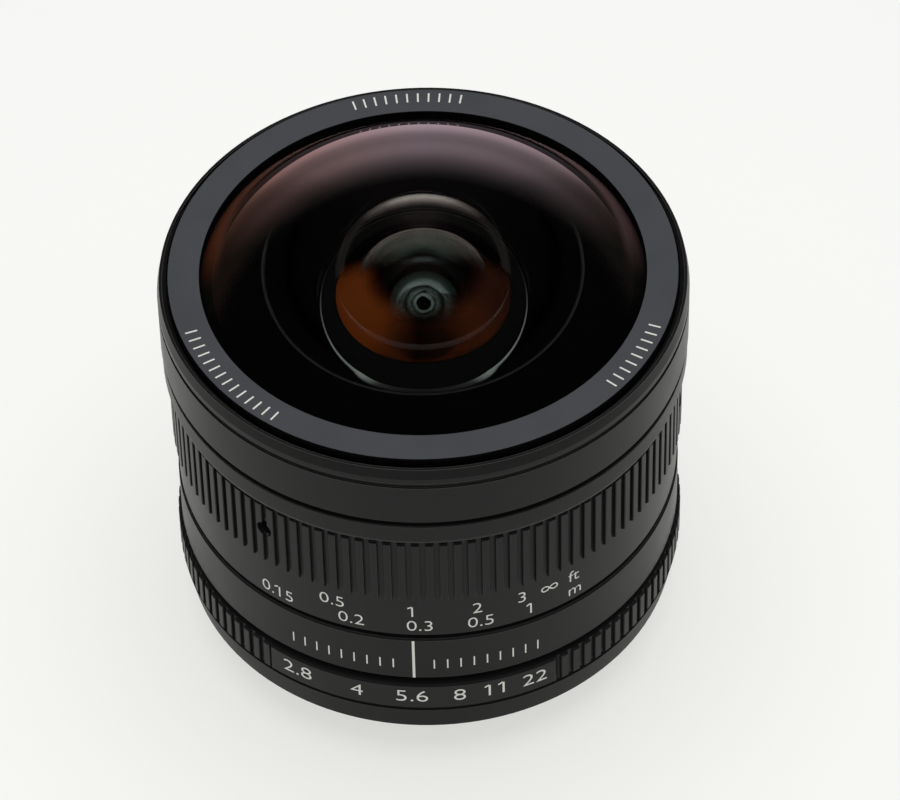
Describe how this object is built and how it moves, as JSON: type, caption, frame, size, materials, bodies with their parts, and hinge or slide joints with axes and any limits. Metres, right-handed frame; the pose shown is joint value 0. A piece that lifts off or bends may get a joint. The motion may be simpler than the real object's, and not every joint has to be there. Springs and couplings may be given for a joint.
{
  "type": "manual focus fisheye camera lens",
  "caption": "Manual fisheye camera lens with a domed front element, ribbed focus and aperture rings, an iris and a bayonet mount.",
  "frame": {"origin": "on the optical axis, in the plane of the bayonet spigot's rear rim, on which the lens stands", "axes": "+Z along the optical axis towards the front element; -Y towards the index line; +X to the right of it"},
  "size_m": [0.06, 0.06, 0.0618],
  "materials": {
    "barrel_anodised": "satin black anodised, finely turned",
    "ring_anodised": "satin black anodised, ribbed",
    "name_ring_paint": "matt black anodised face",
    "inner_anodised": "matt black anodised",
    "cell_black": "matt black anodised",
    "bayonet_plate": "satin chrome plate on brass",
    "brass": "turned",
    "steel_screws": "bright",
    "black_screws": "black oxide",
    "steel_pin": "hardened, ground",
    "spring_steel": "blued strip",
    "blade_steel": "blackened sheet",
    "baffle_plastic": "matt black moulding",
    "seal_rubber": "matt black",
    "front_glass": "polished, purple and brown coating",
    "inner_glass": "polished, green coating"
  },
  "bodies": {
    "barrel": {"mount_bayonet": "bayonet_plate", "mount_screws": "steel_screws", "rear_baffle": "baffle_plastic", "rear_baffle_screws": "black_screws", "base_ring": "barrel_anodised", "main_barrel": "inner_anodised", "guide_key": "brass", "guide_key_screws": "steel_screws", "index_ring": "barrel_anodised", "focus_stop_pin": "steel_pin", "focus_retainer": "brass", "aperture_spring": "spring_steel"},
    "focus": {"focus_ring": "ring_anodised", "helicoid_ring": "brass", "focus_set_screws": "black_screws"},
    "aperture": {"aperture_ring": "ring_anodised", "aperture_drive_screw": "steel_pin"},
    "optics": {"name_ring": "name_ring_paint", "front_barrel": "barrel_anodised", "front_collar": "barrel_anodised", "lens_carrier": "inner_anodised", "front_cell_screws": "steel_screws", "front_element": "front_glass", "front_seal": "seal_rubber", "second_element": "front_glass", "second_retainer": "cell_black", "front_spacer": "cell_black", "third_element": "inner_glass", "fourth_element": "inner_glass", "iris_housing": "cell_black", "iris_cover": "cell_black", "rear_cell": "cell_black", "fifth_element": "inner_glass", "sixth_element": "inner_glass", "rear_spacer_front": "cell_black", "seventh_element": "inner_glass", "eighth_element": "inner_glass", "rear_spacer_back": "cell_black", "ninth_element": "inner_glass", "rear_retainer": "cell_black"},
    "iris_cam": {"iris_cam_ring": "brass"},
    "iris_blade_1": {"iris_blade_1": "blade_steel"},
    "iris_blade_2": {"iris_blade_2": "blade_steel"},
    "iris_blade_3": {"iris_blade_3": "blade_steel"},
    "iris_blade_4": {"iris_blade_4": "blade_steel"},
    "iris_blade_5": {"iris_blade_5": "blade_steel"},
    "iris_blade_6": {"iris_blade_6": "blade_steel"},
    "iris_blade_7": {"iris_blade_7": "blade_steel"}
  },
  "joints": [
    {"name": "focus_turn", "type": "hinge", "parent": "barrel", "child": "focus", "pos_m": [0, 0, 0.03], "axis": [0, 0, 1], "range_deg": [-31.8, 32.6]},
    {"name": "optics_slide", "type": "slide", "parent": "barrel", "child": "optics", "axis": [0, 0, 1], "range_m": [-0.00021, 0.000215]},
    {"name": "aperture_turn", "type": "hinge", "parent": "barrel", "child": "aperture", "pos_m": [0, 0, 0.0116], "axis": [0, 0, 1], "range_deg": [-27.5, 27.6]},
    {"name": "iris_turn", "type": "hinge", "parent": "optics", "child": "iris_cam", "pos_m": [0, 0, 0.0298], "axis": [0, 0, 1], "range_deg": [-27.6, 27.7]},
    {"name": "iris_blade_1_swing", "type": "hinge", "parent": "optics", "child": "iris_blade_1", "pos_m": [0.0092, 0, 0.0311], "axis": [0, 0, 1], "range_deg": [-13.85, 13.8]},
    {"name": "iris_blade_2_swing", "type": "hinge", "parent": "optics", "child": "iris_blade_2", "pos_m": [0.00574, 0.00719, 0.0311], "axis": [0, 0, 1], "range_deg": [-13.85, 13.8]},
    {"name": "iris_blade_3_swing", "type": "hinge", "parent": "optics", "child": "iris_blade_3", "pos_m": [-0.00205, 0.00897, 0.0311], "axis": [0, 0, 1], "range_deg": [-13.85, 13.8]},
    {"name": "iris_blade_4_swing", "type": "hinge", "parent": "optics", "child": "iris_blade_4", "pos_m": [-0.00829, 0.00399, 0.0311], "axis": [0, 0, 1], "range_deg": [-13.85, 13.8]},
    {"name": "iris_blade_5_swing", "type": "hinge", "parent": "optics", "child": "iris_blade_5", "pos_m": [-0.00829, -0.00399, 0.0311], "axis": [0, 0, 1], "range_deg": [-13.85, 13.8]},
    {"name": "iris_blade_6_swing", "type": "hinge", "parent": "optics", "child": "iris_blade_6", "pos_m": [-0.00205, -0.00897, 0.0311], "axis": [0, 0, 1], "range_deg": [-13.85, 13.8]},
    {"name": "iris_blade_7_swing", "type": "hinge", "parent": "optics", "child": "iris_blade_7", "pos_m": [0.00574, -0.00719, 0.0311], "axis": [0, 0, 1], "range_deg": [-13.85, 13.8]}
  ],
  "couplings": [
    {"joint": "optics_slide", "follows": "focus_turn", "m_per_rad": 0.000372},
    {"joint": "iris_turn", "follows": "aperture_turn", "ratio": 1},
    {"joint": "iris_blade_1_swing", "follows": "aperture_turn", "ratio": -0.5},
    {"joint": "iris_blade_2_swing", "follows": "aperture_turn", "ratio": -0.5},
    {"joint": "iris_blade_3_swing", "follows": "aperture_turn", "ratio": -0.5},
    {"joint": "iris_blade_4_swing", "follows": "aperture_turn", "ratio": -0.5},
    {"joint": "iris_blade_5_swing", "follows": "aperture_turn", "ratio": -0.5},
    {"joint": "iris_blade_6_swing", "follows": "aperture_turn", "ratio": -0.5},
    {"joint": "iris_blade_7_swing", "follows": "aperture_turn", "ratio": -0.5}
  ]
}
